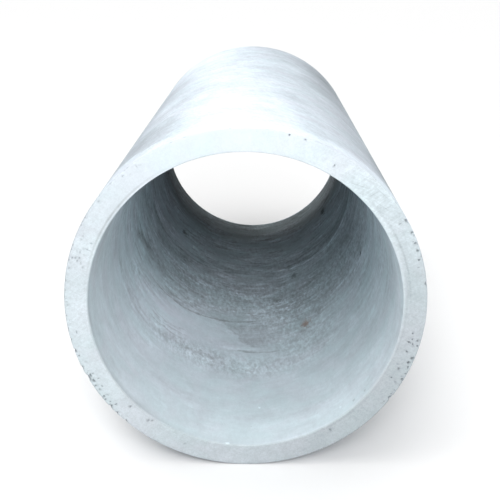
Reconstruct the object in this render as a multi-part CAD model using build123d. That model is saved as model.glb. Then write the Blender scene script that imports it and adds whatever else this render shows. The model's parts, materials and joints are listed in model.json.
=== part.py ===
from build123d import *

import os

# A plain-ended concrete sewer pipe, lying on its side. It is one spun casting, open right through.
# Millimetres, +Z up, with the pipe's axis along Y. The origin is on the ground, under mid-length.

# Driving dimensions
bore_diameter = 1000.0
wall_thickness = 75.0
pipe_length = 2500.0

# Arrises of the two ends, as shares of the wall. The mould's end ring leaves the outer arris
# almost sharp, and the trowel rounds the inner one, so that nothing catches where pipes butt.
outer_arris_share = 0.08
inner_arris_share = 0.16

# Worked-out dimensions
outer_radius = bore_diameter / 2 + wall_thickness
outer_arris_radius = outer_arris_share * wall_thickness
inner_arris_radius = inner_arris_share * wall_thickness
pipe_axis = Axis((0, 0, outer_radius), (0, 1, 0))


def wall_section():
    """The wall cut along its length: a strip with its outside face down and its corners rounded."""
    strip = Rectangle(pipe_length, wall_thickness)
    outside_corners = strip.vertices().group_by(Axis.Y)[0]
    strip = fillet(outside_corners, outer_arris_radius)
    bore_corners = strip.vertices().group_by(Axis.Y)[-1]
    return fillet(bore_corners, inner_arris_radius)


def concrete_pipe():
    """The section laid along the ground and turned once about the pipe's axis."""
    section_on_ground = Plane.YZ * Pos(0, wall_thickness / 2) * wall_section()
    pipe = revolve(section_on_ground, pipe_axis)
    pipe.label = "concrete_pipe"
    return pipe


os.makedirs("parts", exist_ok=True)
export_step(concrete_pipe(), "parts/concrete_pipe.step")
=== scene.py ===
import json
import math
import random

import bmesh
import bpy
import numpy as np
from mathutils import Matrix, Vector, noise


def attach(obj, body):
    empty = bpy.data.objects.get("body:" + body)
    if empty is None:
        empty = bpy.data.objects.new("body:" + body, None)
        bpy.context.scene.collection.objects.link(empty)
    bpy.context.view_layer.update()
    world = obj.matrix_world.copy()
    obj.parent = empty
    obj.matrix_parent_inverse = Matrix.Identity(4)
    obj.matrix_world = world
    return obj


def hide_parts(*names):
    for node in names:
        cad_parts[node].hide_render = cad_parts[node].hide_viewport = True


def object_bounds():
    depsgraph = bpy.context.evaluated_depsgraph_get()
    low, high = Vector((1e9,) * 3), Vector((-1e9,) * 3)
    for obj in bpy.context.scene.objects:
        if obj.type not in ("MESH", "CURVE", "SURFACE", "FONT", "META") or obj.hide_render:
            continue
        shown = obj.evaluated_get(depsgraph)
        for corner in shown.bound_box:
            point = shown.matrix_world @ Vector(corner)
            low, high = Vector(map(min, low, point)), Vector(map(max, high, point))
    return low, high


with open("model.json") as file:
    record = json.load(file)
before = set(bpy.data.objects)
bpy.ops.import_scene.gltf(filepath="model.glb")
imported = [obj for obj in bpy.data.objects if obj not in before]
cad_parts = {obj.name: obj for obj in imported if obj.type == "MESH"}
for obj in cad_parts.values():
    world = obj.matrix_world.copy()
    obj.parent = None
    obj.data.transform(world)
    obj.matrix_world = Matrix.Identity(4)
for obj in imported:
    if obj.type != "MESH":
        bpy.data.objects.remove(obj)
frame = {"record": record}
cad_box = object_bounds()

# Metres throughout. The pipe lies along Y with its near end at the lowest Y, and Z is up.
# A clock angle is in degrees, clockwise from the top of the pipe as seen from its near end.
MM = 0.001
TURN = 2 * math.pi
ACROSS = Vector((1, 0, 0))
ALONG = Vector((0, 1, 0))
WHITE = (1, 1, 1, 1)
BLACK = (0, 0, 0, 1)

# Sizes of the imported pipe
MOUNTS = {mount["name"]: mount for mount in frame["record"]["mounts"]}
NEAR_END, FAR_END = cad_box[0].y, cad_box[1].y
LENGTH = FAR_END - NEAR_END
AXIS_HEIGHT = MOUNTS["bore"]["pos_m"][2]
BORE_RADIUS = MOUNTS["bore"]["dims"]["r_mm"] * MM
INSET = 0.15 * MM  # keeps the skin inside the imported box, whose facets cut the true circle's corners
OUTER_RADIUS = MOUNTS["barrel"]["dims"]["r_mm"] * MM - INSET
WALL = OUTER_RADIUS - BORE_RADIUS
OUTER_ARRIS = (LENGTH - MOUNTS["barrel"]["dims"]["length_mm"] * MM) / 2
INNER_ARRIS = (LENGTH - MOUNTS["bore"]["dims"]["length_mm"] * MM) / 2

# Camera, from the fit of both ends' outlines in the photograph
CAMERA_PLACE = (0.047, -3.701, 1.611)
CAMERA_ELEVATION = math.radians(18.97)
CAMERA_AZIMUTH = math.radians(-0.75)
SENSOR_MM = 36.0
LENS_MM = 60.4

# Wall mesh: segments round the pipe, and rings along each zone of the wall's section, which lie closer
# together by the ends of the bore and the barrel
FINE_SEGMENTS = 512
COARSE_SEGMENTS = 256
FACE_RINGS = 8
OUTER_ARRIS_RINGS = 4
INNER_ARRIS_RINGS = 6
EDGE_RINGS = 5
EDGE_STEP = 7 * MM
EDGE_GROWTH_SHARE = 0.5
BORE_RINGS = 120
BARREL_RINGS = 56

# The trowelled lip of the bore: how deep it goes in, and how wide it is, widest on the right
LIP_DEPTH_SHARE = 0.5
LIP_DEPTH = LIP_DEPTH_SHARE * INNER_ARRIS
LIP_WIDE_CLOCK = 74.0
LIP_NARROW_SHARE = 0.45
LIP_WIDENING_SHARE = 1.1
LIP_WIDENING_SHARPNESS = 5.0

# Uneven surface of each zone, as (size round the pipe, size along it, height)
BORE_RELIEF = ((0.9, 0.16, 1.1 * MM), (0.35, 0.055, 0.5 * MM))
FACE_RELIEF = ((0.12, 0.12, 0.35 * MM), (0.03, 0.03, 0.15 * MM))

# Pits on the ends: (clock from, clock to, lowest and highest share of the wall, count,
# smallest and largest mm, share of painted shade in them)
NEAR_PITS = (
    (55, 78, 0.65, 0.97, 6, 1.6, 2.8, 0.6),
    (97, 119, 0.40, 0.95, 14, 1.4, 2.8, 0.5),
    (118, 128, 0.72, 0.97, 7, 1.8, 3.2, 0.7),
    (224, 262, 0.60, 0.98, 26, 1.8, 3.4, 0.55),
    (262, 276, 0.78, 0.98, 12, 1.8, 3.2, 0.5),
    (283, 297, 0.12, 0.92, 12, 1.6, 2.6, 0.40),
    (295, 328, 0.70, 0.99, 20, 1.8, 3.0, 0.35),
    (0, 360, 0.15, 0.95, 16, 1.0, 1.8, 0.5),
)
FAR_PITS = (
    (20, 75, 0.50, 0.97, 18, 1.6, 3.4, 0.7),
    (150, 215, 0.45, 0.97, 24, 1.6, 3.4, 0.7),
    (0, 360, 0.15, 0.95, 30, 1.0, 2.2, 0.5),
)
# Single marks that stand out: dark and faint pits of the near end as (clock, share of the wall, mm),
# chips as (clock, long, wide and deep mm), and the painted shade in them
LONE_PITS = (
    (30.1, 0.44, 3.6), (59.4, 0.93, 5.4), (63.8, 0.93, 5.0), (67.5, 0.89, 4.4), (70.1, 0.88, 5.0),
    (73.2, 0.83, 4.2), (99.2, 0.55, 3.2), (101.3, 0.60, 3.4), (102.6, 0.49, 4.0), (103.0, 0.67, 3.2),
    (101.5, 0.84, 3.8), (103.3, 0.89, 4.0), (106.2, 0.55, 4.0), (108.0, 0.88, 6.0), (109.8, 0.79, 4.8),
    (111.4, 0.87, 4.6), (113.8, 0.93, 3.6), (116.1, 0.90, 4.8), (113.0, 0.51, 3.4), (117.1, 0.45, 3.0),
    (147.3, 0.285, 3.4), (217.2, 0.16, 2.4), (226.9, 0.28, 3.2), (230.9, 0.72, 3.6), (231.5, 0.90, 4.8),
    (235.7, 0.87, 4.0), (242.2, 0.83, 6.4), (244.4, 0.82, 6.0), (218.4, 0.27, 3.0), (232.9, 0.80, 3.4),
    (234.5, 0.92, 3.4), (238.6, 0.83, 3.6), (239.0, 0.65, 3.2), (240.3, 0.88, 3.8), (244.8, 0.67, 3.0),
    (252.3, 0.88, 3.4), (13.4, 0.90, 3.8), (18.4, 0.90, 3.2),
)
FAINT_PITS = (
    (294.0, 0.29, 3.4), (291.4, 0.35, 3.2), (291.1, 0.48, 3.0), (289.5, 0.59, 3.4), (287.2, 0.71, 3.6),
    (286.4, 0.61, 3.4), (286.3, 0.45, 3.0), (287.7, 0.56, 3.2), (289.2, 0.37, 2.8), (287.1, 0.85, 3.2),
    (283.3, 0.88, 3.4),
)
LONE_CHIPS = (
    (81.5, 14, 7, 4.0), (123.7, 26, 7, 4.5), (224.2, 16, 6, 3.0), (228.4, 9, 5, 2.5),
    (231.5, 16, 7, 3.5), (244.0, 32, 8, 4.5), (248.4, 9, 5, 2.5), (254.5, 14, 7, 3.5),
)
LONE_SHADE_SHARE = 0.9
FAINT_SHADE_SHARE = 0.42

# Chips along the outer arris: (clock from, clock to, count, shortest and longest mm, deepest mm)
NEAR_CHIPS = (
    (57, 76, 6, 5, 10, 2.4),
    (100, 126, 9, 5, 12, 2.8),
    (228, 262, 12, 5, 12, 2.4),
    (262, 315, 13, 5, 11, 2.0),
    (315, 417, 8, 4, 8, 1.4),
    (126, 228, 8, 4, 8, 1.2),
)
FAR_CHIPS = ((0, 360, 40, 5, 16, 3.0),)
# Painted shade in the chips along the arris
CHIP_SHADE_SHARE = 0.45

# Pits of the barrel: how many, between which clocks, smallest and largest mm, the painted shade in them,
# and how far round each the coarse mesh is refined at first
BARREL_PITS = 90
BARREL_PIT_CLOCKS = (45, 315)
BARREL_PIT_MM = (2.2, 5.6)
BARREL_PIT_SHADE_SHARE = 0.6
BARREL_CATCH = 50 * MM

# Shapes of the marks: how uneven their rims are, how oval and deep pits are against their radius, how far
# in, wide and deep chips are, how far a mark reaches and is looked for, how gently it sinks in, and how
# much commoner the small ones are
SEED = 7  # of the random draws
RIM_WAVES = (2, 3, 5)
RIM_WAVE_SHARES = (0.04, 0.16)
PIT_STRETCH_SHARES = (0.8, 1.25)
PIT_DEPTH_SHARES = (0.7, 1.2)
CHIP_OFFSET_SHARE = 0.3
CHIP_WIDE_SHARE = 0.5
CHIP_DEPTH_SHARES = (0.25, 1.0)
MARK_REACH_SHARE = 1.3
MARK_SEARCH_SHARE = 2.0
MARK_EASE = 0.75
SMALL_MARK_POWER = 2

# Finer mesh round each mark: how often edges are halved, their length as a share of the mark's half-width
# and how much more is let pass, and the margin round the mark in such edges
REFINE_LEVELS = 4
REFINE_STEP_SHARE = 0.36
REFINE_SLACK_SHARE = 1.4
REFINE_MARGIN = 2.5

# How pale the concrete is: each zone's own tone, how it changes round and along the pipe, with painted
# light at the top left of the end faces and painted shade low on their right and a painted highlight
# along the barrel's crown, and how much darker the outer arris is painted, as painted shade against the
# light it catches
BORE_TONE = 0.655
FACE_TONE = 0.48
# Painted light and shade on the end faces: lighter to the top left, greyer low on the right
FACE_LIGHT_CLOCK = -33.0
FACE_PAINTED_LIGHT = 0.101
FACE_UPRIGHT_CLOCK = 17.0
FACE_UPRIGHT_PAINTED_LIGHT = 0.038
BARREL_TONE = 0.47
BARREL_RIGHT_TONE = 0.035
# Painted highlight along the barrel's crown
BARREL_CROWN_HIGHLIGHT = 0.25
BARREL_CROWN_NEAR_CLOCK = -4.0
BARREL_CROWN_FAR_CLOCK = -24.0
BARREL_CROWN_SHARPNESS = 7.5
BARREL_BAND_SHARE = 0.7
BARREL_BAND_SHARPNESS = 2
BARREL_BAND_TONE_SHARE = 0.11
# Painted shade on the outer arris
ARRIS_PAINTED_SHADE_SHARE = 0.4

# Round the near end, each as (clock, spread in degrees, change): how much paler the lip is painted, a
# painted highlight where the change is above 0 and painted shade where it is below, how grey the line is
# that the trowel leaves outside it, how much the trowel's strokes show on the face, how much paler the
# face is, partly as painted shade, and how much of its grain shows
LIP_PAINTED_LIGHT_AND_SHADE = (
    (45, 30, 0.10), (88, 17, -0.10), (110, 16, -0.07),
    (205, 12, -0.05), (232, 26, -0.20), (268, 14, -0.12), (320, 12, 0.12),
)
LIP_LINES = ((20, 10, 0.07), (70, 18, 0.16), (140, 16, 0.07), (222, 12, 0.07), (305, 21, 0.30))
TROWELLED = ((46, 17, 1.25), (90, 30, 0.4), (280, 30, 0.6), (180, 60, 0.3))
FACE_TONES = ((48, 12, 0.025), (108, 12, 0.05), (272, 26, 0.035), (308, 10, -0.045))
FACE_GRAINS = ((350, 38, -0.65),)

# How fast the lip's painted highlight and shade come in at its rim and fade into the bore, and the grey
# line: how far out of the rim, its half-width, and how it breaks up
LIP_BLEND = 1.5 * MM
LIP_FADE = 20 * MM
LIP_LINE_OFFSET = 4 * MM
LIP_LINE_HALF_WIDTH = 5.6 * MM
LIP_LINE_PATCH = (0.05, 0.05, 0.05)
LIP_LINE_PATCH_SHARES = (0.5, 1.1)

# Patches of the barrel and the bore, each as (clock, share of the length, spread in degrees, spread as a
# share of the length, change): how pale both are, and in the bore how much the streaks show, how much it
# is mottled and how lavender its grey is
BARREL_PATCHES = (
    (320, 0.14, 11, 0.09, -0.24),
    (331, 0.15, 8, 0.10, -0.08),
    (318, 0.60, 9, 0.16, -0.14),
    (325, 0.95, 22, 0.18, 0.14),
    (340, 0.68, 14, 0.14, 0.06),
    (20, 0.66, 9, 0.20, 0.08),
    (43, 0.82, 11, 0.24, -0.28),
    (42, 0.032, 20, 0.03, 0.21),
    (22, 0.045, 8, 0.02, -0.12),
    (338, 0.17, 8, 0.08, -0.06),
    (322, 0.40, 6, 0.06, 0.18),
    (336, 0.40, 7, 0.07, -0.08),
    (56, 0.16, 11, 0.13, -0.32),
)
TONE_PATCHES = (
    (228, 0.33, 28, 0.13, 0.24),
    (226, 0.36, 30, 0.06, 0.10),
    (105, 0.20, 40, 0.35, 0.05),
    (240, 0.19, 24, 0.10, 0.08),
    (200, 0.35, 18, 0.05, 0.16),
    (195, 0.46, 22, 0.10, 0.08),
    (150, 0.46, 18, 0.10, -0.07),
    (130, 0.54, 32, 0.16, -0.08),
    (100, 0.18, 35, 0.12, 0.06),
    (148, 0.012, 22, 0.03, 0.07),
    (145, 0.28, 16, 0.05, -0.09),
    (126, 0.575, 26, 0.035, -0.14),
    (205, 0.27, 34, 0.045, 0.06),
    (278, 0.18, 14, 0.06, -0.08),
    (84, 0.11, 14, 0.05, -0.11),
    (96, 0.025, 16, 0.04, 0.08),
    (310, 0.06, 40, 0.16, -0.22),
    (171, 0.03, 9, 0.03, 0.05),
    (152, 0.975, 16, 0.025, -0.25),
    (188, 0.955, 24, 0.05, -0.22),
    (235, 0.83, 25, 0.06, 0.18),
)
STREAK_PATCHES = (
    (214, 0.335, 26, 0.055, -0.9),
    (185, 0.20, 40, 0.10, -0.5),
    (252, 0.42, 22, 0.12, 0.2),
    (264, 0.20, 30, 0.12, -0.4),
    (180, 0.66, 60, 0.08, 0.6),
    (102, 0.33, 36, 0.16, -0.35),
    (120, 0.62, 40, 0.12, 0.3),
    (174, 0.36, 20, 0.06, -0.3),
)
MOTTLE_PATCHES = (
    (198, 0.52, 46, 0.09, 0.75),
    (160, 0.40, 22, 0.10, 0.6),
    (205, 0.24, 24, 0.035, 0.8),
    (176, 0.22, 16, 0.03, 0.5),
    (150, 0.27, 16, 0.06, 0.5),
    (114, 0.48, 30, 0.13, 0.75),
)
CAST_PATCHES = (
    (214, 0.32, 26, 0.08, 0.5),
    (235, 0.12, 25, 0.10, 0.25),
    (250, 0.75, 20, 0.15, 0.45),
    (185, 0.62, 30, 0.10, 0.2),
    (175, 0.06, 40, 0.08, -0.1),
    (255, 0.50, 12, 0.12, -0.25),
    (100, 0.25, 30, 0.20, -0.2),
    (150, 0.40, 20, 0.10, -0.1),
    (160, 0.97, 60, 0.05, -0.4),
)

# The two casts of the grey, as linear colours of the same brightness, how much of the second each zone
# has, with patches of it, what the barrel's cast is multiplied by, and the rust stain's colour
COOL_CAST = (0.87, 1.02, 1.07, 1)
LAVENDER_CAST = (0.945, 0.995, 1.08, 1)
CAST_PATCH = (0.14, 0.12, 0.14)
CAST_SHARES = (-0.22, 0.22)
FACE_CAST_SHARE = 0.42
BORE_CAST_SHARE = 0.4
BARREL_CAST_SHARE = 0.6
BARREL_CAST = (0.985, 0.998, 1.02, 1)
RUST = (0.52, 0.31, 0.22, 1)

# Noise comes out near its middle: these are its usual lowest and highest values
NOISE_LOW, NOISE_HIGH = 0.3, 0.7
NOISE_DISTORTION = 0.5
LEVEL = (0, 0, 0)

# Clouds of each zone: (sizes along X, Y and Z, turn about X, Y and Z in degrees, share of the tone)
BORE_CLOUDS = (
    ((0.40, 0.20, 0.40), LEVEL, 0.05),
    ((0.07, 0.08, 0.07), (20, 0, 20), 0.03),
    ((0.018, 0.025, 0.018), LEVEL, 0.02),
    ((0.006, 0.012, 0.006), LEVEL, 0.02),
)
BORE_STREAKS = (
    ((0.30, 0.075, 0.30), (4, 0, 4), 0.10),
    ((0.11, 0.034, 0.11), (-5, 0, -5), 0.15),
    ((0.045, 0.022, 0.045), (7, 0, 7), 0.13),
    ((0.013, 0.040, 0.013), LEVEL, 0.11),
)
BORE_MOTTLES = (
    ((0.014, 0.044, 0.014), (10, 0, 10), 0.24),
    ((0.009, 0.020, 0.009), (-15, 0, -15), 0.12),
)
BARREL_CLOUDS = (
    ((0.30, 0.35, 0.30), (25, 0, 25), 0.06),
    ((0.07, 0.16, 0.07), (30, 0, 35), 0.05),
    ((0.20, 0.060, 0.20), (2, 0, 2), 0.035),
    ((0.05, 0.035, 0.05), LEVEL, 0.04),
    ((0.010, 0.040, 0.010), (10, 0, 15), 0.05),
    ((0.007, 0.007, 0.007), LEVEL, 0.05),
)
FACE_CLOUDS = (
    ((0.11, 0.11, 0.11), LEVEL, 0.04),
    ((0.025, 0.025, 0.025), LEVEL, 0.03),
    ((0.010, 0.010, 0.010), LEVEL, 0.04),
    ((0.0045, 0.0045, 0.0045), LEVEL, 0.055),
)
FACE_STROKES = (
    ((0.055, 0.02, 0.007), (0, 25, 0), 0.06),
    ((0.045, 0.02, 0.006), (0, -38, 0), 0.06),
)

# Where the bore's streaks show: in patches, and from these shares of the length on, by the mouth only
# faintly, and starting further in where the wall is lower
STREAK_PATCH = (0.16, 0.12, 0.16)
STREAK_PATCH_SHARES = (0.25, 1.25)
STREAK_DEPTH_SHARES = (0.06, 0.34)
STREAK_MOUTH_SHARE = 0.2
STREAK_LIFT_SHARE = 0.5

# The pale margin along the near end of the barrel, a painted highlight that stands in for light caught by
# a rounded arris: the clock it is shallowest at, its depth there, how it deepens down the flanks, how far
# its edge fades and wanders, how far up a point must lie, as a share of the radius, for the margin to start
# and to show in full, where it thins out on the crown, and its share
MARGIN_CLOCK = 9.0
MARGIN_DEPTH = 88 * MM
MARGIN_DEEPENING = 1.5
MARGIN_FADE = 20 * MM
MARGIN_WANDER = 10 * MM
MARGIN_WANDER_SIZE = (0.10, 0.10, 0.10)
MARGIN_FLANK_SHARES = (0.40, 0.60)
MARGIN_CROWN_SHARES = (0.70, 0.97)
MARGIN_CROWN_LEFT_SHARE = 0.15
MARGIN_HIGHLIGHT_SHARE = 0.24

# Strokes in the bore: three points as (clock, share of the length), then how far each fades towards the
# near end and the far end, how far it reaches either way from its middle point, and its share darker,
# and how they wobble, break up and fade out at their ends, as scratches do
STROKES = (
    (((229.0, 0.385), (205.0, 0.392), (182.0, 0.407)), 6 * MM, 16 * MM, 0.34, 0.34),
    (((229.0, 0.388), (205.0, 0.395), (182.0, 0.410)), 8 * MM, 130 * MM, 0.34, 0.12),
    (((192.3, 0.390), (185.3, 0.343), (174.3, 0.288)), 5 * MM, 100 * MM, 0.20, 0.20),
    (((186.3, 0.287), (176.0, 0.282), (164.7, 0.276)), 6 * MM, 12 * MM, 0.13, 0.30),
    (((221.2, 0.237), (202.9, 0.253), (183.4, 0.210)), 36 * MM, 36 * MM, 0.28, 0.16),
    (((258.3, 0.435), (248.7, 0.447), (242.7, 0.431)), 14 * MM, 14 * MM, 0.16, 0.18),
    (((231.0, 0.267), (222.0, 0.264), (213.0, 0.272)), 5 * MM, 5 * MM, 0.12, 0.20),
    (((231.0, 0.280), (222.0, 0.278), (213.0, 0.285)), 5 * MM, 5 * MM, 0.12, 0.20),
    (((231.0, 0.294), (222.0, 0.291), (213.0, 0.298)), 5 * MM, 5 * MM, 0.12, 0.18),
    (((156.0, 0.642), (138.0, 0.629), (112.0, 0.640)), 14 * MM, 14 * MM, 0.48, -0.36),
    (((156.0, 0.658), (138.0, 0.645), (112.0, 0.656)), 14 * MM, 120 * MM, 0.48, 0.24),
    (((240.0, 0.633), (224.4, 0.635), (197.3, 0.645)), 16 * MM, 16 * MM, 0.40, 0.25),
    (((261.9, 0.410), (248.1, 0.464), (236.5, 0.462)), 12 * MM, 18 * MM, 0.22, 0.30),
    (((243.3, 0.590), (236.5, 0.580), (215.8, 0.619)), 16 * MM, 40 * MM, 0.30, 0.26),
    (((262.0, 0.238), (249.0, 0.229), (234.0, 0.226)), 10 * MM, 34 * MM, 0.26, 0.15),
    (((212.0, 0.660), (203.1, 0.659), (194.1, 0.657)), 16 * MM, 22 * MM, 0.22, 0.24),
    (((97.1, 0.362), (121.6, 0.420), (134.2, 0.401)), 20 * MM, 220 * MM, 0.40, 0.14),
)
STROKE_WOBBLE = 12 * MM
STROKE_WOBBLE_SIZE = (0.06, 0.06, 0.06)
STROKE_BREAK_SIZE = (0.012, 0.03, 0.012)
STROKE_BREAK_SHARES = (0.6, 1.2)
FULL_REACH_SHARE = 0.5

# Spots in the bore: (clock, share of the length, radius round the bore and along it, share darker), the
# rust stain, and how uneven their edges are
SPOTS = (
    (107.4, 0.383, 14 * MM, 34 * MM, 0.65),
    (226.5, 0.741, 32 * MM, 52 * MM, 0.60),
    (127.2, 0.847, 26 * MM, 90 * MM, 0.60),
    (154.4, 0.595, 28 * MM, 56 * MM, 0.50),
    (165.5, 0.493, 40 * MM, 34 * MM, 0.35),
    (157.3, 0.645, 30 * MM, 50 * MM, 0.25),
    (174.7, 0.099, 6 * MM, 12 * MM, -0.30),
    (133.8, 0.014, 8 * MM, 10 * MM, 0.22),
    (127.8, 0.012, 8 * MM, 10 * MM, 0.20),
    (187.2, 0.002, 10 * MM, 12 * MM, -0.40),
    (140.3, 0.023, 9 * MM, 12 * MM, -0.15),
)
RUST_SPOT = (151.0, 0.345, 32 * MM, 52 * MM)
RUST_SHARE = 0.7
SPOT_EDGE_SIZE = (0.010, 0.02, 0.010)
SPOT_EDGE_SHARES = (0.7, 1.6)
SPOT_CORE_SHARE = 0.2

# Small dark specks of the bore and the barrel: one to a cell, those that are kept, and their share darker
SPECK_CELL = (0.045, 0.06, 0.045)
SPECK_RADIUS_SHARES = (0.0275, 0.055)
SPECK_KEPT_SHARE = 0.45
SPECK_SHARE = 0.22

# Trowel scratches on the near face: two points as (clock, share of the wall), half-width and share darker
SCRATCHES = (
    ((37.2, 0.20), (43.3, 0.50), 2.4 * MM, 0.17),
    ((43.5, 0.75), (51.0, 0.84), 2.2 * MM, 0.17),
    ((45.8, 0.28), (46.7, 0.82), 2.4 * MM, 0.15),
    ((52.3, 0.42), (53.0, 0.90), 2.2 * MM, 0.15),
    ((48.0, 0.35), (55.0, 0.62), 2.2 * MM, 0.13),
)

# Surface finish: how much the painted shade in pits and chips darkens, how rough it is, its grain and
# ridges, and its gloss
PAINTED_SHADE_SHARE = 0.6
ROUGHNESSES = (0.78, 0.95)
ROUGHNESS_PATCH = (0.02, 0.02, 0.02)
GRAIN_SIZE = (0.003, 0.004, 0.003)
GRAIN_SHARE = 0.35
RIDGE_SIZE = (0.18, 0.010, 0.18)
RIDGE_TURN = (3, 0, 3)
BUMP_HEIGHT = 0.8 * MM
BUMP_STRENGTH = 0.35
SPECULAR_LEVEL = 0.3

# Studio: the surround's broad glows as (direction, strength), the panels in front of the pipe as (name,
# place, height aimed at, width, height, watts), and the floor
SKY_SHARPNESS = 8.0
BACKDROP_STRENGTH = 1.0
SKY_GLOWS = (
    ((-0.5, 0.0, 0.87), 3.0),
    ((0.0, 0.6, 0.8), 2.2),
    ((0.0, -0.6, 0.8), 1.75),
    ((0.7, -0.7, 0.3), 1.25),
    ((0.0, -1.0, 0.25), 0.6),
)
PANELS = (
    ("high_panel", (0.4, -6.0, 4.0), 0.5, 3.0, 2.0, 167.0),
    ("front_panel", (0.0, -4.6, 2.6), 0.4, 1.6, 1.0, 11.5),
)
FLOOR_SIZE = 120.0
FLOOR_DROP = 0.2 * MM
FLOOR_GREY = 0.8
FLOOR_ROUGHNESS = 0.9

# The cards across the far opening, as (name, depth from the far end, shares of the light that they keep
# out on the left and on the right)
FLAG_STEP_SHARE = 0.045
FLAG_STEP = FLAG_STEP_SHARE * LENGTH
FLAGS = (
    ("end_flag", INNER_ARRIS, 0.78, 0.58),
    ("outer_flag", FLAG_STEP, 0.36, 0.15),
    ("inner_flag", 2 * FLAG_STEP, 0.45, 0.38),
    ("deep_flag", 3 * FLAG_STEP, 0.60, 0.60),
)


def lip_width(clock):
    """Width of the bore's lip at clock angles in radians."""
    facing = np.clip(np.cos(clock - math.radians(LIP_WIDE_CLOCK)), 0, 1)
    return INNER_ARRIS * (LIP_NARROW_SHARE + LIP_WIDENING_SHARE * facing ** LIP_WIDENING_SHARPNESS)


def section_stations():
    """The wall's section, from the bore's near end round to it, as (zone, share along it, segments)."""
    def evenly(zone, count):
        return [(zone, step / count, FINE_SEGMENTS) for step in range(count)]

    def along(zone, rings):
        steps = [step + EDGE_GROWTH_SHARE * step ** 2 for step in range(EDGE_RINGS)]
        edge = [EDGE_STEP * step / LENGTH for step in steps]
        middle = np.linspace(edge[-1], 1 - edge[-1], rings + 1)[1:-1]
        start = [(zone, share, FINE_SEGMENTS) for share in edge]
        run = [(zone, share, COARSE_SEGMENTS) for share in middle]
        return start + run + [(zone, 1 - share, FINE_SEGMENTS) for share in reversed(edge)][:-1]

    inside = along("bore", BORE_RINGS)
    far = evenly("far lip", INNER_ARRIS_RINGS) + evenly("far face", FACE_RINGS)
    far += evenly("far edge", OUTER_ARRIS_RINGS)
    outside = along("barrel", BARREL_RINGS)
    near = evenly("near edge", OUTER_ARRIS_RINGS) + evenly("near face", FACE_RINGS)
    near += evenly("near lip", INNER_ARRIS_RINGS)
    return inside + far + outside + near


def on_section(zone, share, clock):
    """Radius and Y of a point of the section at clock angles in radians."""
    lip = lip_width(clock)
    rise, run = math.sin(share * math.pi / 2), math.cos(share * math.pi / 2)
    inner, outer = BORE_RADIUS + lip, OUTER_RADIUS - OUTER_ARRIS
    if zone == "bore":
        return BORE_RADIUS, NEAR_END + LIP_DEPTH + share * (LENGTH - 2 * LIP_DEPTH)
    if zone == "far lip":
        return inner - lip * run, FAR_END - LIP_DEPTH * (1 - rise)
    if zone == "far face":
        return inner + share * (outer - inner), FAR_END
    if zone == "far edge":
        return outer + OUTER_ARRIS * rise, FAR_END - OUTER_ARRIS * (1 - run)
    if zone == "barrel":
        return OUTER_RADIUS, FAR_END - OUTER_ARRIS - share * (LENGTH - 2 * OUTER_ARRIS)
    if zone == "near edge":
        return outer + OUTER_ARRIS * run, NEAR_END + OUTER_ARRIS * (1 - rise)
    if zone == "near face":
        return outer + share * (inner - outer), NEAR_END
    return inner - lip * rise, NEAR_END + LIP_DEPTH * (1 - run)


def place(radius, y, clock):
    """Points at a radius from the pipe's axis, a Y and a clock angle in radians."""
    parts = np.broadcast_arrays(radius * np.sin(clock), y, AXIS_HEIGHT + radius * np.cos(clock))
    return np.stack(parts, axis=-1)


def bridge(first, second):
    """Faces between two rings of vertex numbers, of equal counts or one twice the other."""
    if len(first) == len(second):
        return [(first[i], first[i - 1], second[i - 1], second[i]) for i in range(len(first))]
    if len(first) < len(second):
        return [tuple(reversed(face)) for face in bridge(second, first)]
    faces = []
    for i in range(len(second)):
        left, middle, right = first[2 * i], first[2 * i + 1], first[(2 * i + 2) % len(first)]
        start, stop = second[i], second[(i + 1) % len(second)]
        faces += [(middle, left, start), (middle, start, stop), (right, middle, stop)]
    return faces


def wall_mesh():
    """The plain wall: rings of the section's stations, joined into one closed skin."""
    points, rings, start = [], [], 0
    for zone, share, segments in section_stations():
        clock = np.arange(segments) * TURN / segments
        points.append(place(*on_section(zone, share, clock), clock))
        rings.append(range(start, start + segments))
        start += segments
    faces = []
    for first, second in zip(rings, rings[1:] + rings[:1]):
        faces += bridge(first, second)
    mesh = bpy.data.meshes.new("pipe_wall")
    mesh.from_pydata(np.concatenate(points).tolist(), [], faces)
    return mesh


class Mark:
    """A hollow in the wall: an oval of half-sizes long and wide, pushed in by depth, with painted shade in
    it.

    The mesh is refined round it, at first as far out as catch.
    """

    def __init__(self, draw, centre, inward, clockwise, long, wide, depth, soot, catch=0.0):
        self.centre, self.inward, self.clockwise = np.array(centre), np.array(inward), clockwise
        self.across = np.cross(self.inward, self.clockwise)
        self.long, self.wide, self.depth, self.soot, self.catch = long, wide, depth, soot, catch
        self.waves = [(count, draw.uniform(*RIM_WAVE_SHARES), draw.uniform(0, TURN)) for count in RIM_WAVES]

    def reach(self):
        """How far out from its middle the mark is taken to go."""
        return MARK_REACH_SHARE * max(self.long, self.wide)

    def fill(self, points):
        """How far into the oval each point lies: 1 at the middle, 0 at the rim and beyond."""
        away = points - self.centre
        u = away @ self.clockwise / self.long
        v = away @ self.across / self.wide
        angle = np.arctan2(v, u)
        rim = 1 + sum(size * np.cos(count * angle + phase) for count, size, phase in self.waves)
        near = np.abs(away @ self.inward) < MARK_SEARCH_SHARE * self.reach()
        return np.clip(1 - (u * u + v * v) / (rim * rim), 0, 1) ** MARK_EASE * near


def axes_at(clock):
    """Outward and clockwise directions across the pipe at a clock angle in radians."""
    outward = np.array([math.sin(clock), 0, math.cos(clock)])
    return outward, np.array([math.cos(clock), 0, -math.sin(clock)])


def end_at(end):
    """Y of an end's face, and the way along Y that goes into the wall there."""
    return (NEAR_END, 1) if end == "near" else (FAR_END, -1)


def end_pit(draw, end, clock, wall_share, radius, soot):
    """A bug hole in an end face, at a share of the wall from the bore."""
    _, clockwise = axes_at(clock)
    y, into = end_at(end)
    centre = place(BORE_RADIUS + wall_share * WALL, y, clock)
    stretch = draw.uniform(*PIT_STRETCH_SHARES)
    depth = radius * draw.uniform(*PIT_DEPTH_SHARES)
    return Mark(draw, centre, (0, into, 0), clockwise, radius * stretch, radius / stretch, depth, soot)


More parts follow.
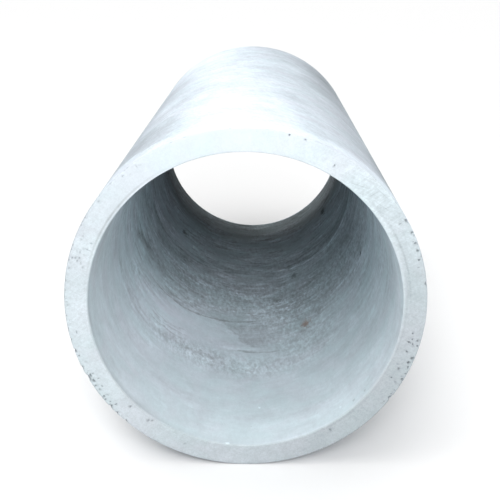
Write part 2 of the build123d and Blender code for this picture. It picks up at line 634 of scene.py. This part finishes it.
def arris_chip(draw, end, clock, long, wide, depth, soot):
    """A flake broken off the outer arris, pressed in diagonally."""
    outward, clockwise = axes_at(clock)
    y, into = end_at(end)
    offset = CHIP_OFFSET_SHARE * OUTER_ARRIS
    corner = place(OUTER_RADIUS - offset, y + into * offset, clock)
    inward = (np.array([0, into, 0]) - outward) / math.sqrt(2)
    return Mark(draw, corner, inward, clockwise, long / 2, max(wide, depth + offset), depth, soot)


def barrel_pit(draw, clock, depth, radius):
    """A bug hole in the outside of the barrel, at a depth from the near end."""
    outward, clockwise = axes_at(clock)
    centre = place(OUTER_RADIUS, NEAR_END + depth, clock)
    return Mark(draw, centre, -outward, clockwise, radius, radius, radius, BARREL_PIT_SHADE_SHARE, BARREL_CATCH)


def spread(draw, start, stop, count):
    """Clock angles in radians, one drawn from each equal part of a range in degrees."""
    step = (stop - start) / count
    return [math.radians(start + (i + draw.random()) * step) for i in range(count)]


def between(low, high, share):
    """The value at a share of the way from low to high."""
    return low + (high - low) * share


def pit_field(draw, end, start, stop, low, high, count, small, large, soot):
    """Pits over part of an end face, more of them small."""
    marks = []
    for clock in spread(draw, start, stop, count):
        radius = between(small, large, draw.random() ** SMALL_MARK_POWER) * MM
        wall_share = between(high, low, draw.random())
        marks.append(end_pit(draw, end, clock, wall_share, radius, soot))
    return marks


def chip_field(draw, end, start, stop, count, short, long, deepest):
    """Chips along part of an outer arris, more of them small."""
    marks = []
    for clock in spread(draw, start, stop, count):
        share = draw.random() ** SMALL_MARK_POWER
        size = between(short, long, share) * MM
        depth = between(*CHIP_DEPTH_SHARES, share) * deepest * MM
        marks.append(arris_chip(draw, end, clock, size, CHIP_WIDE_SHARE * size, depth, CHIP_SHADE_SHARE))
    return marks


def wall_marks():
    """Every pit and chip of the pipe, in a fixed order of random draws."""
    draw = random.Random(SEED)
    marks = []
    for end, pits, chips in (("near", NEAR_PITS, NEAR_CHIPS), ("far", FAR_PITS, FAR_CHIPS)):
        for field in pits:
            marks += pit_field(draw, end, *field)
        for field in chips:
            marks += chip_field(draw, end, *field)
    for pits, soot in ((LONE_PITS, LONE_SHADE_SHARE), (FAINT_PITS, FAINT_SHADE_SHARE)):
        for clock, wall_share, radius in pits:
            marks.append(end_pit(draw, "near", math.radians(clock), wall_share, radius * MM, soot))
    for clock, *sizes in LONE_CHIPS:
        sizes = (size * MM for size in sizes)
        marks.append(arris_chip(draw, "near", math.radians(clock), *sizes, LONE_SHADE_SHARE))
    for clock in spread(draw, *BARREL_PIT_CLOCKS, BARREL_PITS):
        depth = draw.uniform(WALL, LENGTH - WALL)
        marks.append(barrel_pit(draw, clock, depth, draw.uniform(*BARREL_PIT_MM) * MM))
    return marks


def refine(bm, marks):
    """Halves the edges round each mark until they are fine enough to hold its shape."""
    for level in range(REFINE_LEVELS):
        points = np.array([vert.co for vert in bm.verts])
        wanted = np.full(len(points), np.inf)
        for mark in marks:
            step = REFINE_STEP_SHARE * min(mark.long, mark.wide)
            reach = max(mark.reach() + REFINE_MARGIN * step, mark.catch / 2 ** level)
            near = np.linalg.norm(points - mark.centre, axis=1) < reach
            wanted[near] = np.minimum(wanted[near], step)
        longest = REFINE_SLACK_SHARE * wanted
        edges = [
            edge for edge in bm.edges
            if edge.calc_length() > max(longest[vert.index] for vert in edge.verts)
        ]
        bmesh.ops.subdivide_edges(bm, edges=edges, cuts=1, use_grid_fill=True, use_single_edge=True)
        bm.verts.index_update()


def press(points, marks):
    """Pushes every mark into the wall. Returns the points, and how much painted shade lies on each, from 0
    to 1.
    """
    soot = np.zeros(len(points))
    moved = points.copy()
    for mark in marks:
        search = MARK_SEARCH_SHARE * mark.reach()
        near = np.flatnonzero(np.linalg.norm(points - mark.centre, axis=1) < search)
        fill = mark.fill(points[near])
        moved[near] += np.outer(fill * mark.depth, mark.inward)
        soot[near] = np.maximum(soot[near], fill * mark.soot)
    return moved, soot


def relief(points, layers):
    """Smooth noise over points, as layers of (size round the pipe, size along it, height)."""
    total = np.zeros(len(points))
    for across, along, height in layers:
        scaled = points / np.array([across, along, across])
        total += height * np.array([noise.noise(Vector(point)) for point in scaled])
    return total


class Skin:
    """Where each point of the mesh lies on the pipe."""

    def __init__(self, points):
        self.points = points
        self.clock = np.arctan2(points[:, 0], points[:, 2] - AXIS_HEIGHT)
        self.radius = np.hypot(points[:, 0], points[:, 2] - AXIS_HEIGHT)
        self.depth = points[:, 1] - NEAR_END
        self.from_end = np.minimum(self.depth, LENGTH - self.depth)
        self.near = self.depth < LENGTH / 2
        outside = self.radius > BORE_RADIUS + WALL / 2
        self.bore = np.clip(self.from_end / LIP_DEPTH, 0, 1) * ~outside
        self.barrel = np.clip(self.from_end / OUTER_ARRIS, 0, 1) * outside
        self.rim = self.radius - BORE_RADIUS - lip_width(self.clock)
        # Where the lip's painted highlight and shade apply: within its rim, fading into the bore
        within_rim = np.clip(-self.rim / LIP_BLEND, 0, 1)
        self.lip = within_rim * np.clip(1 - (self.depth - LIP_DEPTH) / LIP_FADE, 0, 1)


def weather(skin):
    """The uneven surface that spinning and trowelling leave, only ever cut in on the end faces."""
    outward = np.stack([np.sin(skin.clock), np.zeros_like(skin.clock), np.cos(skin.clock)], axis=1)
    moved = skin.points + outward * (relief(skin.points, BORE_RELIEF) * skin.bore)[:, None]
    hollows = np.abs(relief(skin.points, FACE_RELIEF)) * (1 - skin.bore - skin.barrel)
    moved[:, 1] -= hollows * np.sign(skin.points[:, 1])
    return moved


def turned(skin, clock, wide):
    """How far round from a clock angle each point lies, in spreads of so many degrees."""
    return np.angle(np.exp(1j * (skin.clock - math.radians(clock)))) / math.radians(wide)


def patchy(skin, patches):
    """A sum of soft patches over the bore or the barrel."""
    total = np.zeros_like(skin.clock)
    for clock, depth_share, wide, long_share, change in patches:
        along = (skin.depth / LENGTH - depth_share) / long_share
        total += change * np.exp(-turned(skin, clock, wide) ** 2 - along ** 2)
    return total


def ringed(skin, changes):
    """A sum of soft changes round the near end."""
    total = sum(change * np.exp(-turned(skin, clock, wide) ** 2) for clock, wide, change in changes)
    return total * skin.near


def face_tones(skin):
    """The end faces' tone, with painted light and shade: palest at the top and the left, greyest low on the
    right.
    """
    painted_light = FACE_PAINTED_LIGHT * np.cos(skin.clock - math.radians(FACE_LIGHT_CLOCK))
    upright_light = FACE_UPRIGHT_PAINTED_LIGHT * np.cos(2 * (skin.clock - math.radians(FACE_UPRIGHT_CLOCK)))
    return (FACE_TONE + painted_light + upright_light) * (1 + ringed(skin, FACE_TONES))


def barrel_tones(skin):
    """The barrel's tone: a painted highlight along the crown, which drifts to the left, and lighter towards
    the near end.
    """
    along = skin.depth / LENGTH
    middle = np.radians(between(BARREL_CROWN_NEAR_CLOCK, BARREL_CROWN_FAR_CLOCK, along))
    # Painted highlight along the crown
    crown = np.clip(np.cos(skin.clock - middle), 0, 1) ** BARREL_CROWN_SHARPNESS
    tone = BARREL_TONE + BARREL_RIGHT_TONE * np.sin(skin.clock) + BARREL_CROWN_HIGHLIGHT * crown
    band = np.clip(1 - along / BARREL_BAND_SHARE, 0, 1) ** BARREL_BAND_SHARPNESS
    return tone * (1 + BARREL_BAND_TONE_SHARE * band + patchy(skin, BARREL_PATCHES))


def tones(skin):
    """How pale the concrete is at each point, with its painted light and shade, before streaks and grain.
    """
    inside = BORE_TONE * (1 + patchy(skin, TONE_PATCHES))
    face = face_tones(skin)
    tone = face + (inside - face) * skin.bore + (barrel_tones(skin) - face) * skin.barrel
    # Painted shade on the outer arris, darkest midway round it
    arris_shade = ARRIS_PAINTED_SHADE_SHARE * skin.barrel * (1 - skin.barrel)
    # Painted highlight and shade on the near lip
    return tone * (1 - arris_shade + ringed(skin, LIP_PAINTED_LIGHT_AND_SHADE) * skin.lip)


def streaks(skin):
    """How much the spinning streaks show: least by the near end, and from further in along the bottom."""
    lift = STREAK_LIFT_SHARE * (skin.points[:, 2] - AXIS_HEIGHT)
    start, stop = (share * LENGTH for share in STREAK_DEPTH_SHARES)
    inner = np.clip((skin.depth + lift - start) / (stop - start), 0, 1)
    shown = STREAK_MOUTH_SHARE + (1 - STREAK_MOUTH_SHARE) * inner
    return np.clip(shown * (1 + patchy(skin, STREAK_PATCHES)), 0, None)


def casts(skin):
    """How lavender the grey is, from 0 to 1."""
    inside = BORE_CAST_SHARE + patchy(skin, CAST_PATCHES)
    face = FACE_CAST_SHARE
    return face + (inside - face) * skin.bore + (BARREL_CAST_SHARE - face) * skin.barrel


def store(mesh, name, values):
    """Keeps one number for each vertex where the material can read it."""
    layer = mesh.attributes.new(name, "FLOAT", "POINT")
    layer.data.foreach_set("value", values.astype(np.float32))


def looks(skin, soot):
    """What the material reads at each point, by name."""
    zones = {"bore": skin.bore, "barrel": skin.barrel, "rim": skin.rim, "soot": soot}
    greys = {"tone": tones(skin), "streak": streaks(skin), "cast": casts(skin)}
    grains = {"mottle": patchy(skin, MOTTLE_PATCHES), "grain": 1 + ringed(skin, FACE_GRAINS)}
    trowelled = {"line": ringed(skin, LIP_LINES), "trowel": ringed(skin, TROWELLED)}
    return {**zones, **greys, **grains, **trowelled}


def cast_pipe():
    """The whole casting: the plain wall refined, weathered and marked."""
    mesh = wall_mesh()
    marks = wall_marks()
    bm = bmesh.new()
    bm.from_mesh(mesh)
    refine(bm, marks)
    bmesh.ops.recalc_face_normals(bm, faces=bm.faces)
    bm.to_mesh(mesh)
    bm.free()
    skin = Skin(np.array([vertex.co for vertex in mesh.vertices]))
    moved, soot = press(weather(skin), marks)
    mesh.vertices.foreach_set("co", moved.astype(np.float32).ravel())
    for name, values in looks(skin, soot).items():
        store(mesh, name, values)
    mesh.shade_smooth()
    mesh.update()
    pipe = bpy.data.objects.new("pipe_casting", mesh)
    bpy.context.scene.collection.objects.link(pipe)
    return pipe


class Graph:
    """A tree of shader nodes, made by short calls that give back the socket to go on from."""

    def __init__(self, tree):
        self.tree = tree

    def feed(self, socket, value):
        """Links a socket to another one, or sets it to a constant."""
        if isinstance(value, bpy.types.NodeSocket):
            self.tree.links.new(value, socket)
        else:
            socket.default_value = value

    def node(self, kind, inputs, **settings):
        """A node of a kind, with its inputs by name or number."""
        made = self.tree.nodes.new("ShaderNode" + kind)
        for name, value in settings.items():
            setattr(made, name, value)
        for name, value in inputs.items():
            self.feed(made.inputs[name], value)
        return made

    def math(self, operation, *values):
        return self.node("Math", dict(enumerate(values)), operation=operation).outputs[0]

    def remap(self, value, low, high, start, stop):
        """A smooth step from start to stop as value goes from low to high."""
        ends = {"From Min": low, "From Max": high, "To Min": start, "To Max": stop}
        return self.node("MapRange", {"Value": value, **ends}, interpolation_type="SMOOTHSTEP").outputs[0]

    def attribute(self, name):
        return self.node("Attribute", {}, attribute_name=name).outputs["Fac"]

    def dot(self, vector, direction):
        return self.node("VectorMath", {0: vector, 1: direction}, operation="DOT_PRODUCT").outputs["Value"]

    def away(self, vector, point):
        return self.node("VectorMath", {0: vector, 1: point}, operation="DISTANCE").outputs["Value"]

    def resize(self, coords, sizes, turn=LEVEL):
        """Coordinates in units of the given sizes along X, Y and Z, turned about them by degrees."""
        inputs = {"Vector": coords, "Rotation": [math.radians(angle) for angle in turn], "Scale": sizes}
        return self.node("Mapping", inputs, vector_type="TEXTURE").outputs[0]

    def noise(self, coords, sizes, turn=LEVEL):
        """Cloudy noise with features of the given sizes along X, Y and Z."""
        inputs = {"Vector": self.resize(coords, sizes, turn), "Scale": 1.0, "Distortion": NOISE_DISTORTION}
        return self.node("TexNoise", inputs).outputs[0]

    def swing(self, coords, sizes, start, stop, turn=LEVEL):
        """Noise spread between two values."""
        return self.remap(self.noise(coords, sizes, turn), NOISE_LOW, NOISE_HIGH, start, stop)

    def clouds(self, coords, layers):
        """A factor round 1 from layers of noise."""
        factor = 1.0
        for sizes, turn, share in layers:
            factor = self.math("MULTIPLY", self.swing(coords, sizes, 1 - share, 1 + share, turn), factor)
        return factor

    def darken(self, tone, mask, share):
        """The tone, darker by a share where the mask is 1."""
        return self.math("MULTIPLY", tone, self.math("MULTIPLY_ADD", mask, -share, 1.0))

    def mix(self, mask, first, second):
        """From the first number to the second as the mask goes from 0 to 1."""
        return self.node("Mix", {0: mask, 2: first, 3: second}).outputs[0]

    def mix_colour(self, mask, first, second, blend="MIX"):
        """The same with colours, which have inputs and an output of their own in the node."""
        inputs = {0: mask, 6: first, 7: second}
        return self.node("Mix", inputs, data_type="RGBA", blend_type=blend).outputs[2]


def in_bore(clock, depth_share):
    """A point on the bore's wall."""
    return Vector(place(BORE_RADIUS, NEAR_END + depth_share * LENGTH, math.radians(clock)))


def on_face(clock, wall_share):
    """A point on the near face."""
    return Vector(place(BORE_RADIUS + wall_share * WALL, NEAR_END, math.radians(clock)))


def stroke(graph, coords, wobble, points, near_fade, far_fade, reach):
    """A mask that is 1 along the line where the plane through three points cuts the bore."""
    first, middle, last = (in_bore(*point) for point in points)
    across = (middle - first).cross(last - first).normalized()
    across *= math.copysign(1, across.y)
    off = graph.math("SUBTRACT", graph.math("ADD", graph.dot(coords, across), wobble), across.dot(middle))
    near_side = graph.remap(off, -near_fade, 0.0, 0.0, 1.0)
    far_side = graph.remap(off, 0.0, far_fade, 1.0, 0.0)
    ends = graph.remap(graph.away(coords, middle), FULL_REACH_SHARE * reach, reach, 1.0, 0.0)
    return graph.math("MULTIPLY", graph.math("MULTIPLY", near_side, far_side), ends)


def scratch(graph, coords, first, last, half_width):
    """A mask that is 1 along a straight line between two points of the near face."""
    start, stop = on_face(*first), on_face(*last)
    across = (stop - start).cross(ALONG).normalized()
    off = graph.math("SUBTRACT", graph.dot(coords, across), across.dot(start))
    line = graph.remap(graph.math("ABSOLUTE", off), 0.0, half_width, 1.0, 0.0)
    reach = (stop - start).length / 2
    away = graph.away(coords, (start + stop) / 2)
    ends = graph.remap(away, FULL_REACH_SHARE * reach, reach, 1.0, 0.0)
    return graph.math("MULTIPLY", line, ends)


def spot(graph, coords, clock, depth_share, wide, long):
    """A mask that is 1 in the middle of an uneven spot in the bore."""
    sizes = (wide, long, wide)
    centre = Vector(a / b for a, b in zip(in_bore(clock, depth_share), sizes))
    away = graph.away(graph.resize(coords, sizes), centre)
    uneven = graph.math("MULTIPLY", away, graph.swing(coords, SPOT_EDGE_SIZE, *SPOT_EDGE_SHARES))
    return graph.remap(uneven, SPOT_CORE_SHARE, 1.0, 1.0, 0.0)


def specks(graph, coords):
    """A mask of scattered small dots."""
    cells = graph.node("TexVoronoi", {"Vector": graph.resize(coords, SPECK_CELL), "Scale": 1.0})
    dots = graph.remap(cells.outputs["Distance"], *SPECK_RADIUS_SHARES, 1.0, 0.0)
    drawn = graph.node("SeparateColor", {0: cells.outputs["Color"]}).outputs[0]
    return graph.math("MULTIPLY", dots, graph.math("LESS_THAN", drawn, SPECK_KEPT_SHARE))


def bore_shade(graph, coords):
    """Streaks, mottling, float strokes, spots and specks of the bore, as a factor of its tone."""
    patches = graph.swing(coords, STREAK_PATCH, *STREAK_PATCH_SHARES)
    shown = graph.math("MULTIPLY", graph.attribute("streak"), patches)
    streaked = graph.mix(shown, 1.0, graph.clouds(coords, BORE_STREAKS))
    mottled = graph.mix(graph.attribute("mottle"), 1.0, graph.clouds(coords, BORE_MOTTLES))
    marked = graph.math("MULTIPLY", streaked, mottled)
    tone = graph.math("MULTIPLY", graph.clouds(coords, BORE_CLOUDS), marked)
    wobble = graph.swing(coords, STROKE_WOBBLE_SIZE, -STROKE_WOBBLE / 2, STROKE_WOBBLE / 2)
    broken = graph.swing(coords, STROKE_BREAK_SIZE, *STROKE_BREAK_SHARES)
    for points, near_fade, far_fade, reach, share in STROKES:
        line = stroke(graph, coords, wobble, points, near_fade, far_fade, reach)
        tone = graph.darken(tone, graph.math("MULTIPLY", line, broken), share)
    for clock, depth_share, wide, long, share in SPOTS:
        tone = graph.darken(tone, spot(graph, coords, clock, depth_share, wide, long), share)
    return graph.darken(tone, specks(graph, coords), SPECK_SHARE)


def broken_line(graph, coords):
    """How much of the lip's grey line is left along it."""
    return graph.swing(coords, LIP_LINE_PATCH, *LIP_LINE_PATCH_SHARES)


def face_shade(graph, coords):
    """Clouds, strokes, scratches and the lip's grey line on the end faces, as a factor of their tone."""
    strokes = graph.mix(graph.attribute("trowel"), 1.0, graph.clouds(coords, FACE_STROKES))
    clouds = graph.mix(graph.attribute("grain"), 1.0, graph.clouds(coords, FACE_CLOUDS))
    tone = graph.math("MULTIPLY", clouds, strokes)
    for first, last, half_width, share in SCRATCHES:
        tone = graph.darken(tone, scratch(graph, coords, first, last, half_width), share)
    off_line = graph.math("ABSOLUTE", graph.math("SUBTRACT", graph.attribute("rim"), LIP_LINE_OFFSET))
    line = graph.remap(off_line, 0.0, LIP_LINE_HALF_WIDTH, 1.0, 0.0)
    line = graph.math("MULTIPLY", line, graph.attribute("line"))
    return graph.darken(tone, graph.math("MULTIPLY", line, broken_line(graph, coords)), 1.0)


def margin_highlight(graph, coords):
    """A mask of the pale margin along the near end of the barrel, a painted highlight."""
    aim = Vector(axes_at(math.radians(MARGIN_CLOCK))[0])
    lift = graph.math("SUBTRACT", graph.dot(coords, aim), aim.z * AXIS_HEIGHT)
    facing = graph.math("MAXIMUM", graph.math("DIVIDE", lift, OUTER_RADIUS), 0.0)
    depth = graph.math("SUBTRACT", graph.dot(coords, ALONG), NEAR_END)
    wander = graph.swing(coords, MARGIN_WANDER_SIZE, -MARGIN_WANDER, MARGIN_WANDER)
    inner = graph.math("MULTIPLY", depth, graph.math("POWER", facing, MARGIN_DEEPENING))
    past = graph.math("SUBTRACT", graph.math("ADD", inner, wander), MARGIN_DEPTH)
    inside = graph.remap(past, -MARGIN_FADE / 2, MARGIN_FADE / 2, 1.0, 0.0)
    flank = graph.remap(facing, *MARGIN_FLANK_SHARES, 0.0, 1.0)
    crown = graph.remap(facing, *MARGIN_CROWN_SHARES, 1.0, MARGIN_CROWN_LEFT_SHARE)
    return graph.math("MULTIPLY", inside, graph.math("MULTIPLY", flank, crown))


def barrel_shade(graph, coords):
    """Clouds, specks and the painted highlight of the pale margin on the barrel, as a factor of its tone.
    """
    tone = graph.darken(graph.clouds(coords, BARREL_CLOUDS), specks(graph, coords), SPECK_SHARE)
    # Painted highlight along the near end of the barrel
    return graph.darken(tone, margin_highlight(graph, coords), -MARGIN_HIGHLIGHT_SHARE)


def concrete_colour(graph, coords):
    """Colour of the concrete: its tone with painted light and shade, streaks, clouds and painted shade in
    the pits, in a cool or a lavender cast.
    """
    barrel = graph.attribute("barrel")
    shade = graph.mix(graph.attribute("bore"), face_shade(graph, coords), bore_shade(graph, coords))
    shade = graph.mix(barrel, shade, barrel_shade(graph, coords))
    tone = graph.math("MULTIPLY", graph.attribute("tone"), shade)
    # Painted shade in the pits and chips
    tone = graph.darken(tone, graph.attribute("soot"), PAINTED_SHADE_SHARE)
    cast = graph.math("ADD", graph.attribute("cast"), graph.swing(coords, CAST_PATCH, *CAST_SHARES))
    colour = graph.mix_colour(cast, COOL_CAST, LAVENDER_CAST)
    colour = graph.mix_colour(barrel, colour, BARREL_CAST, "MULTIPLY")
    stain = graph.math("MULTIPLY", spot(graph, coords, *RUST_SPOT), RUST_SHARE)
    colour = graph.mix_colour(stain, colour, RUST)
    grey = graph.node("CombineColor", {0: tone, 1: tone, 2: tone}).outputs[0]
    return graph.mix_colour(1.0, colour, grey, "MULTIPLY")


def concrete_normal(graph, coords):
    """Bump of the grain and of the fine ridges that spinning leaves."""
    grain = graph.math("MULTIPLY", graph.noise(coords, GRAIN_SIZE), GRAIN_SHARE)
    ridges = graph.math("MULTIPLY", graph.noise(coords, RIDGE_SIZE, RIDGE_TURN), graph.attribute("streak"))
    height = graph.math("ADD", grain, ridges)
    inputs = {"Strength": BUMP_STRENGTH, "Distance": BUMP_HEIGHT, "Height": height}
    return graph.node("Bump", inputs).outputs[0]


def new_material(name):
    """An empty material, its graph and its shader's inputs."""
    material = bpy.data.materials.new(name)
    material.use_nodes = True
    return material, Graph(material.node_tree), material.node_tree.nodes["Principled BSDF"].inputs


def concrete():
    """Pale spun concrete: streaked in the bore, cloudy on the faces and the barrel, with painted shade in
    the pits.
    """
    material, graph, shader = new_material("concrete")
    coords = graph.node("TexCoord", {}).outputs["Object"]
    graph.feed(shader["Base Color"], concrete_colour(graph, coords))
    graph.feed(shader["Roughness"], graph.swing(coords, ROUGHNESS_PATCH, *ROUGHNESSES))
    graph.feed(shader["Normal"], concrete_normal(graph, coords))
    shader["Specular IOR Level"].default_value = SPECULAR_LEVEL
    return material


def floor():
    """A plain pale floor under the pipe."""
    bpy.ops.mesh.primitive_plane_add(size=FLOOR_SIZE, location=(0, 0, -FLOOR_DROP))
    ground = bpy.context.object
    ground.name = "floor"
    material, _, shader = new_material("floor_paint")
    shader["Base Color"].default_value = (FLOOR_GREY, FLOOR_GREY, FLOOR_GREY, 1)
    shader["Roughness"].default_value = FLOOR_ROUGHNESS
    ground.data.materials.append(material)


def flag(name, depth, left_cover, right_cover):
    """A dark card across the far opening, unseen by the camera, that keeps stray light out of the bore."""
    bpy.ops.mesh.primitive_circle_add(
        vertices=COARSE_SEGMENTS, radius=BORE_RADIUS, fill_type="NGON",
        location=(0, FAR_END - depth, AXIS_HEIGHT), rotation=(math.pi / 2, 0, 0),
    )
    card = bpy.context.object
    card.name = name
    card.visible_camera = False
    material, graph, shader = new_material(name + "_cloth")
    shader["Base Color"].default_value = BLACK
    shader["Specular IOR Level"].default_value = 0.0
    across = graph.dot(graph.node("TexCoord", {}).outputs["Object"], ACROSS)
    graph.feed(shader["Alpha"], graph.remap(across, -BORE_RADIUS, BORE_RADIUS, left_cover, right_cover))
    card.data.materials.append(material)


def sky():
    """A surround of broad soft glows, strongest overhead, and plain white where it is seen."""
    world = bpy.data.worlds.new("surround")
    bpy.context.scene.world = world
    world.use_nodes = True
    graph = Graph(world.node_tree)
    direction = graph.node("TexCoord", {}).outputs["Generated"]
    total = 0.0
    for aim, strength in SKY_GLOWS:
        facing = graph.math("MAXIMUM", graph.dot(direction, Vector(aim).normalized()), 0.0)
        total = graph.math("MULTIPLY_ADD", graph.math("POWER", facing, SKY_SHARPNESS), strength, total)
    background = world.node_tree.nodes["Background"].inputs
    background["Color"].default_value = WHITE
    seen = graph.node("LightPath", {}).outputs["Is Camera Ray"]
    graph.feed(background["Strength"], graph.mix(seen, total, BACKDROP_STRENGTH))


def panel(name, at, aim_height, width, height, watts):
    """A soft panel of light that faces the near end."""
    data = bpy.data.lights.new(name, "AREA")
    data.shape = "RECTANGLE"
    data.size, data.size_y = width, height
    data.energy = watts
    lamp = bpy.data.objects.new(name, data)
    lamp.location = at
    aim = Vector((0, NEAR_END, aim_height)) - Vector(at)
    lamp.rotation_euler = aim.to_track_quat("-Z", "Y").to_euler()
    lamp.visible_camera = False
    bpy.context.scene.collection.objects.link(lamp)


def studio():
    """Plain soft studio light, shown without a film curve."""
    sky()
    for row in PANELS:
        panel(*row)
    for row in FLAGS:
        flag(*row)
    bpy.context.scene.view_settings.view_transform = "Standard"


def camera():
    """The photograph's viewpoint."""
    data = bpy.data.cameras.new("camera")
    data.sensor_width = SENSOR_MM
    data.lens = LENS_MM
    eye = bpy.data.objects.new("camera", data)
    eye.location = CAMERA_PLACE
    eye.rotation_euler = (math.pi / 2 - CAMERA_ELEVATION, 0, -CAMERA_AZIMUTH)
    bpy.context.scene.collection.objects.link(eye)
    bpy.context.scene.camera = eye


pipe = cast_pipe()
pipe.data.materials.append(concrete())
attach(pipe, "root")
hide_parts("concrete_pipe")
floor()
studio()
camera()
